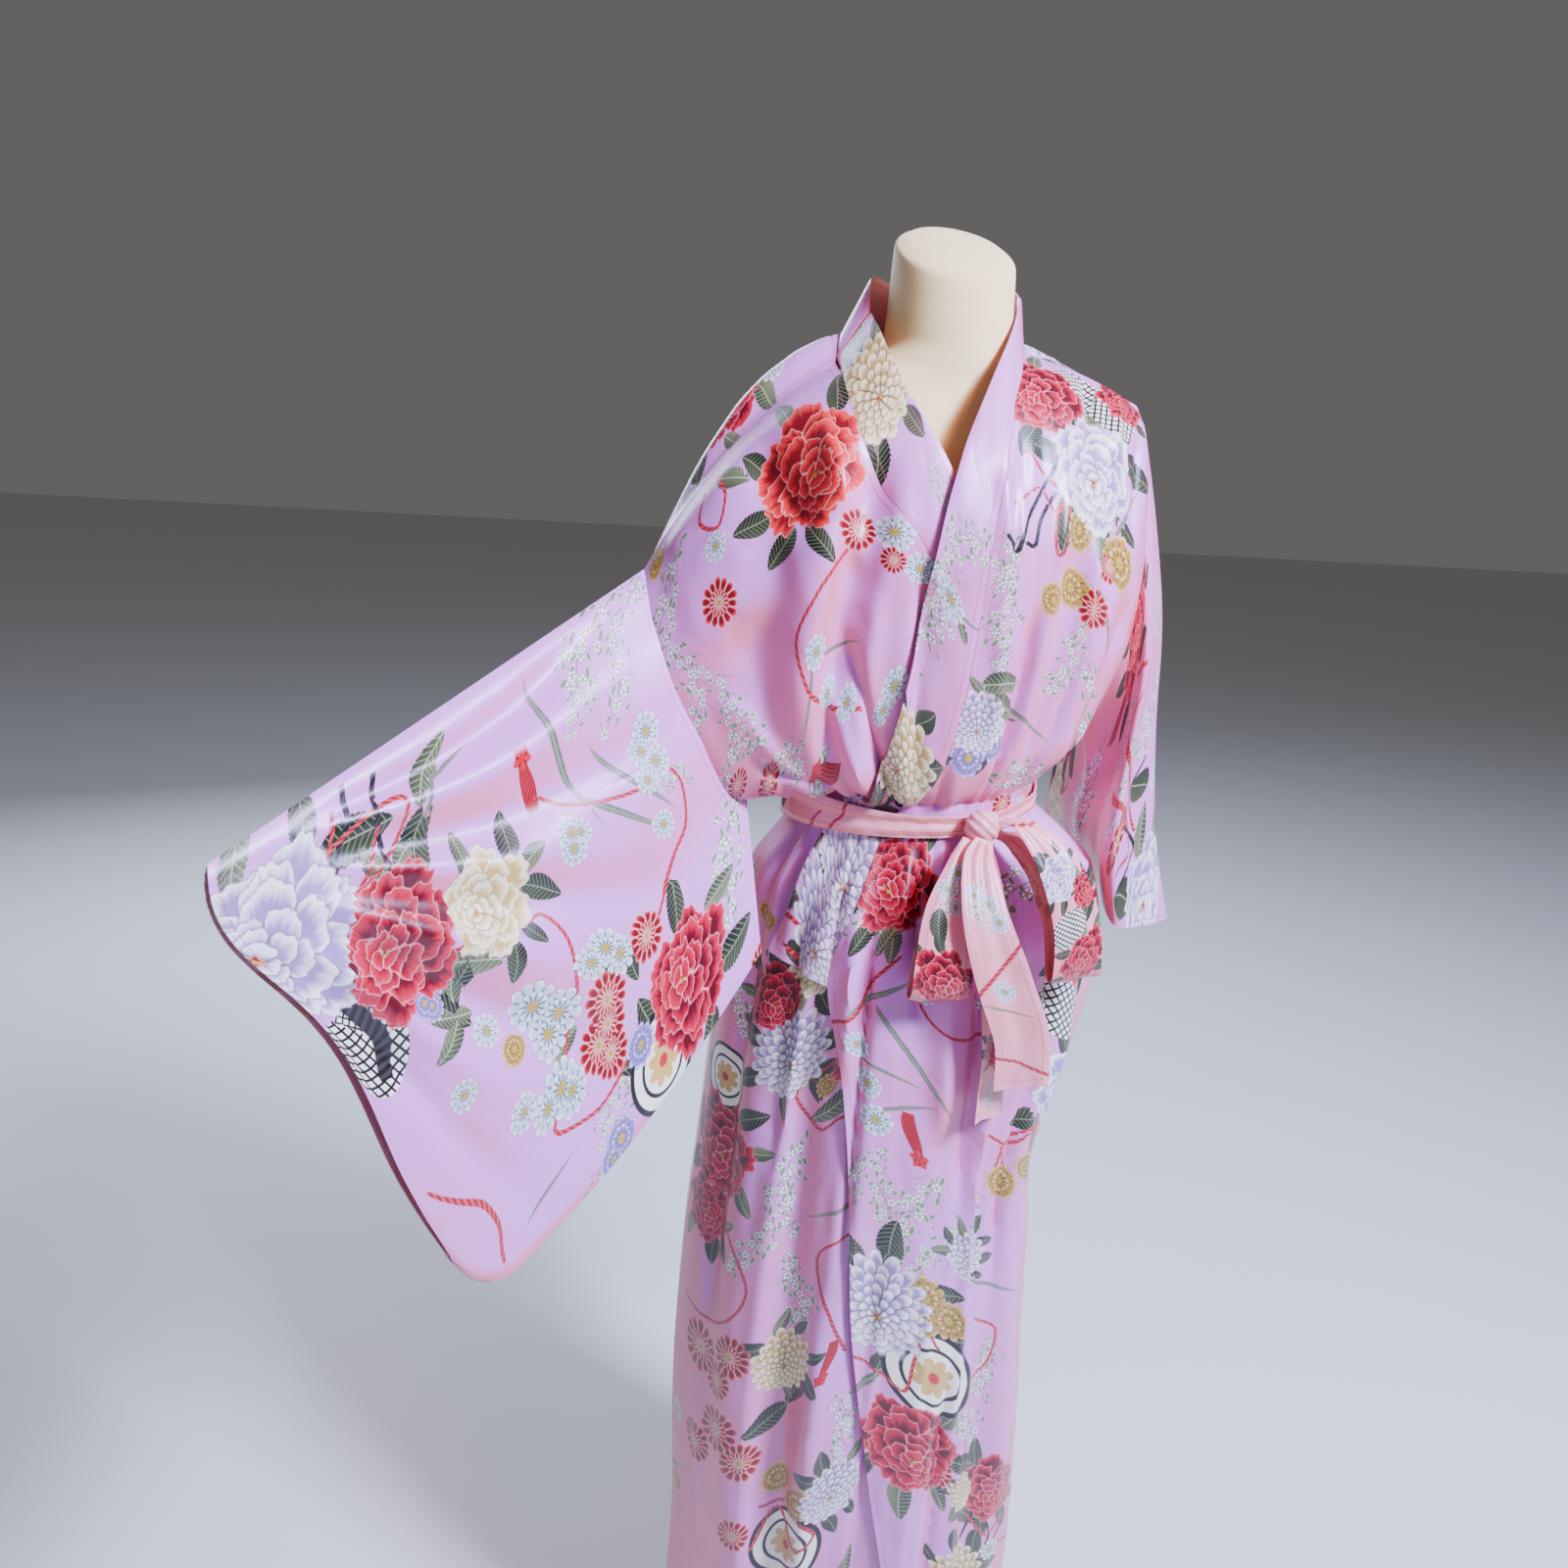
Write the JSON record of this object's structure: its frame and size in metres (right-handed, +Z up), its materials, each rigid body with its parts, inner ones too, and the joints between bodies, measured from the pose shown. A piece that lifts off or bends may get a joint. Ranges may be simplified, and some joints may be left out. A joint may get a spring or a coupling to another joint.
{
  "type": "kimono robe on dress form",
  "caption": "Long belted kimono robe with wide hanging sleeves, tied in a bow on a limbless dress form with a pole stand.",
  "frame": {"origin": "centre of the underside of the stand's base disc", "axes": "+Z up; -Y towards the front of the robe; -X towards the wearer's right side"},
  "size_m": [0.8583, 0.4973, 1.6031],
  "materials": {
    "printed_satin": "glossy printed satin",
    "belt_satin": "glossy printed satin",
    "form_cover": "matt cream jersey",
    "stand_steel": "satin"
  },
  "bodies": {
    "root": {"dress_form": "form_cover", "stand_pole": "stand_steel", "stand_base": "stand_steel", "back_bodice": "printed_satin", "back_skirt": "printed_satin", "right_front_bodice": "printed_satin", "right_front_skirt": "printed_satin", "left_front_bodice": "printed_satin", "left_front_skirt": "printed_satin", "right_sleeve": "printed_satin", "left_sleeve_front": "printed_satin", "left_sleeve_back": "printed_satin", "collar_right": "printed_satin", "collar_back": "printed_satin", "collar_left": "printed_satin", "belt_wrap": "belt_satin", "belt_knot": "belt_satin", "bow_left_loop": "belt_satin", "bow_right_loop": "belt_satin", "belt_long_tail": "belt_satin", "belt_second_tail": "belt_satin"}
  },
  "joints": []
}
